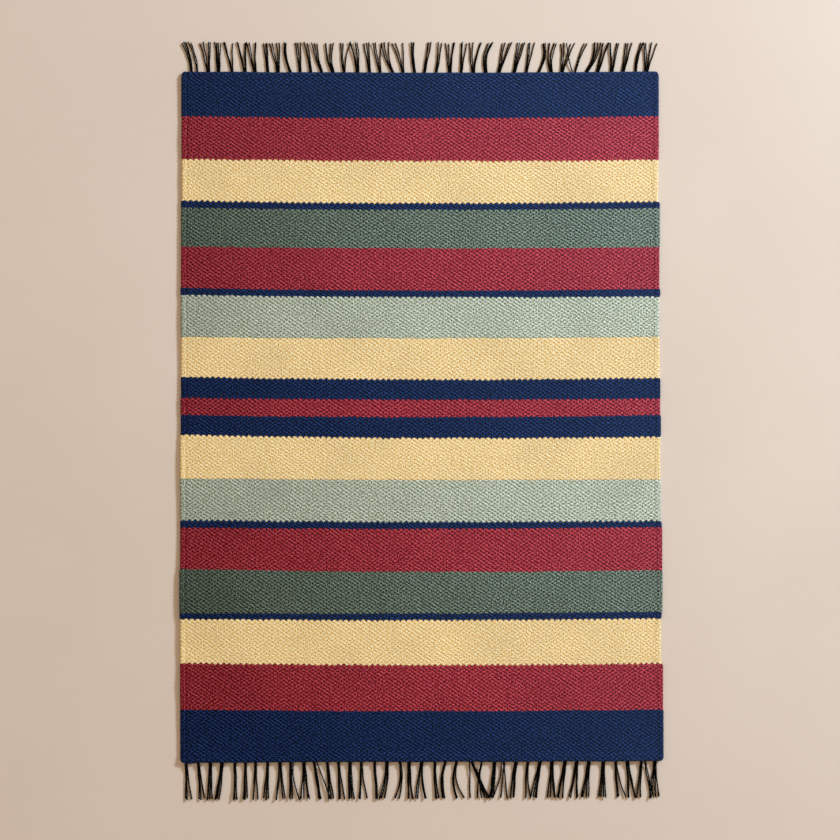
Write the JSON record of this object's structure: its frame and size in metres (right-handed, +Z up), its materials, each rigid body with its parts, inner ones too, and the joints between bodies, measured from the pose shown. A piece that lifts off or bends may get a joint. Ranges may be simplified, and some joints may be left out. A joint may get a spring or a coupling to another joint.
{
  "type": "kilim rug",
  "caption": "Flat-woven striped rug lying flat, with even selvedges and a fringe of dark warp tufts along each short end.",
  "frame": {"origin": "on the floor under the middle of the whole rug, both fringes included", "axes": "+Z up from the floor through the cloth, +Y along the warps to the far end with the shorter fringe, +X along the weft to the right"},
  "size_m": [0.911, 1.43, 0.0085],
  "materials": {
    "cloth_wool": "matt wool weft in five colours, weft-faced plain weave",
    "warp_yarn": "matt near-black warp yarn"
  },
  "bodies": {
    "root": {"woven_cloth": "cloth_wool", "far_fringe": "warp_yarn", "near_fringe": "warp_yarn"}
  },
  "joints": []
}
